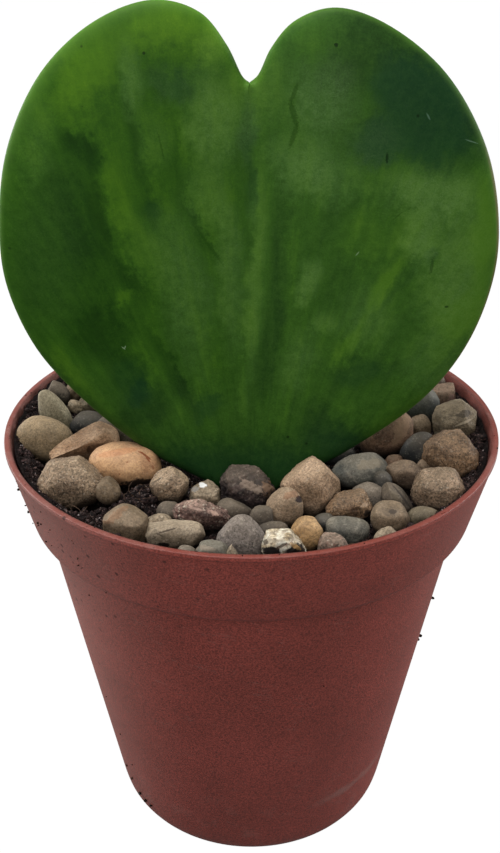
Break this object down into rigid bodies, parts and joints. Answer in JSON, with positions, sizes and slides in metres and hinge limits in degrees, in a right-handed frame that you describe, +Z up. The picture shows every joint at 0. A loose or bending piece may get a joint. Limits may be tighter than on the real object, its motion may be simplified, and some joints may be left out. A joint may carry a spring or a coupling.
{
  "type": "potted hoya plant",
  "caption": "Single upright heart-shaped succulent hoya leaf in a small round nursery pot, with pebbles over dark potting soil.",
  "frame": {"origin": "centre of the pot's foot, on the surface it stands on", "axes": "+Z up through the pot's middle, -Y towards the side that the leaf's face looks to, +X to the right of someone who looks at that face"},
  "size_m": [0.06, 0.06, 0.1043],
  "materials": {
    "pot": "red-brown moulded plastic with a fine grain and a soft sheen",
    "soil": "near-black peat with crumbs and a few white bits",
    "leaf": "waxy mottled green, streaked from the foot",
    "tan": "matt tan sandstone",
    "sand": "pale sandy stone",
    "ochre": "smooth yellow-orange stone",
    "brown": "speckled brown stone",
    "rust": "red-brown stone",
    "plum": "rough dark purple-brown stone",
    "pink": "pinkish-brown granite",
    "grey": "grey stone",
    "olive": "grey-olive stone",
    "slate": "blue-green slate",
    "quartz": "cream stone with white quartz"
  },
  "bodies": {
    "root": {"back_pebbles_grey_1": "grey", "back_pebbles_ochre_1": "ochre", "back_pebbles_olive_1": "olive", "back_pebbles_rust_1": "rust", "back_pebbles_sand_1": "sand", "back_pebbles_slate_1": "slate", "back_pebbles_tan_1": "tan", "leaf": "leaf", "pebble_brown_1": "brown", "pebble_brown_2": "brown", "pebble_brown_3": "brown", "pebble_brown_4": "brown", "pebble_brown_5": "brown", "pebble_grey_1": "grey", "pebble_grey_2": "grey", "pebble_grey_3": "grey", "pebble_grey_4": "grey", "pebble_grey_5": "grey", "pebble_grey_6": "grey", "pebble_grey_7": "grey", "pebble_grey_8": "grey", "pebble_ochre_1": "ochre", "pebble_ochre_2": "ochre", "pebble_olive_1": "olive", "pebble_olive_2": "olive", "pebble_olive_3": "olive", "pebble_olive_4": "olive", "pebble_olive_5": "olive", "pebble_olive_6": "olive", "pebble_olive_7": "olive", "pebble_olive_8": "olive", "pebble_pink_1": "pink", "pebble_pink_2": "pink", "pebble_pink_3": "pink", "pebble_pink_4": "pink", "pebble_pink_5": "pink", "pebble_plum_1": "plum", "pebble_quartz_1": "quartz", "pebble_quartz_2": "quartz", "pebble_rust_1": "rust", "pebble_sand_1": "sand", "pebble_sand_2": "sand", "pebble_sand_3": "sand", "pebble_sand_4": "sand", "pebble_sand_5": "sand", "pebble_slate_1": "slate", "pebble_slate_2": "slate", "pebble_slate_3": "slate", "pebble_slate_4": "slate", "pebble_slate_5": "slate", "pebble_tan_1": "tan", "pebble_tan_2": "tan", "pebble_tan_3": "tan", "pebble_tan_4": "tan", "pebble_tan_5": "tan", "pebble_tan_6": "tan", "pebble_tan_7": "tan", "pot": "pot", "soil": "soil"}
  },
  "joints": []
}
